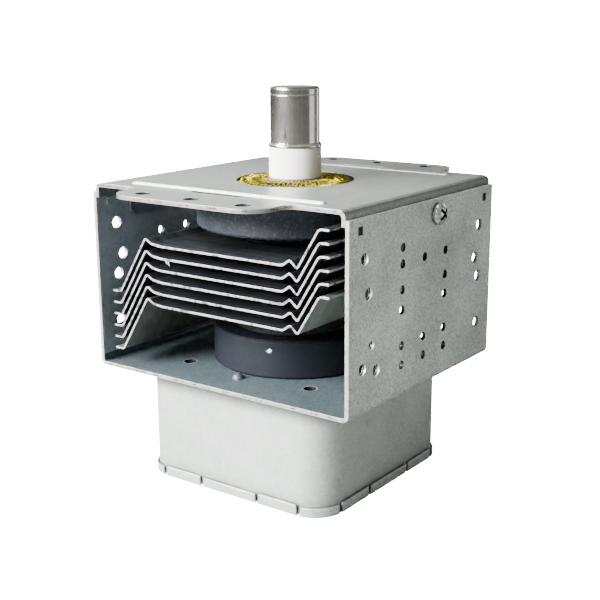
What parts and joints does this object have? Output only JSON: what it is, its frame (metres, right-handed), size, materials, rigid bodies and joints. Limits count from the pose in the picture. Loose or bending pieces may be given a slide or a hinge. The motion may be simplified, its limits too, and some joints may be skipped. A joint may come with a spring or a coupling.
{
  "type": "magnetron",
  "caption": "Air-cooled oven magnetron: folded steel yoke round ring magnets and bent cooling fins, capped antenna on top and a filter box below.",
  "frame": {"origin": "on the antenna axis, in the top face of the mounting plate, amid the mounting holes", "axes": "+Z along the antenna, away from the filter box; +X across the yoke walls; -Y out of the front mouth of the yoke"},
  "size_m": [0.1, 0.1102, 0.122],
  "materials": {
    "galvanised_sheet": "satin",
    "plate_sheet": "satin",
    "zinc_screw": "satin",
    "brass_braid": "satin",
    "seal_metal": "satin",
    "white_ceramic": "matte",
    "copper": "satin",
    "cap_steel": "satin",
    "ferrite": "matte",
    "pole_iron": "satin",
    "fin_aluminium": "satin",
    "cathode_metal": "satin",
    "tinned_brass": "satin",
    "tinned_sheet": "satin",
    "enamelled_copper": "gloss",
    "capacitor_resin": "matte",
    "rivet_metal": "satin"
  },
  "bodies": {
    "root": {"yoke_frame": "galvanised_sheet", "mounting_plate": "plate_sheet", "capacitor_flange": "plate_sheet", "yoke_screws": "zinc_screw", "rf_gasket": "brass_braid", "output_seal_cup": "seal_metal", "input_seal_cup": "seal_metal", "output_top_seal": "seal_metal", "output_ceramic": "white_ceramic", "stem_ceramic": "white_ceramic", "exhaust_tube": "copper", "antenna_lead": "copper", "anode_cylinder": "copper", "anode_vanes": "copper", "strap_rings": "copper", "antenna_cap": "cap_steel", "upper_magnet": "ferrite", "lower_magnet": "ferrite", "choke_core_left": "ferrite", "choke_core_right": "ferrite", "upper_pole_piece": "pole_iron", "lower_pole_piece": "pole_iron", "cooling_fin_1": "fin_aluminium", "cooling_fin_2": "fin_aluminium", "cooling_fin_3": "fin_aluminium", "cooling_fin_4": "fin_aluminium", "cooling_fin_5": "fin_aluminium", "cooling_fin_6": "fin_aluminium", "filament": "cathode_metal", "upper_end_hat": "cathode_metal", "lower_end_hat": "cathode_metal", "center_lead": "cathode_metal", "side_lead": "cathode_metal", "stem_lugs": "tinned_brass", "capacitor_blades": "tinned_brass", "filter_box": "tinned_sheet", "filter_lid": "tinned_sheet", "choke_coil_left": "enamelled_copper", "choke_coil_right": "enamelled_copper", "capacitor_body": "capacitor_resin", "capacitor_rivets": "rivet_metal"}
  },
  "joints": []
}
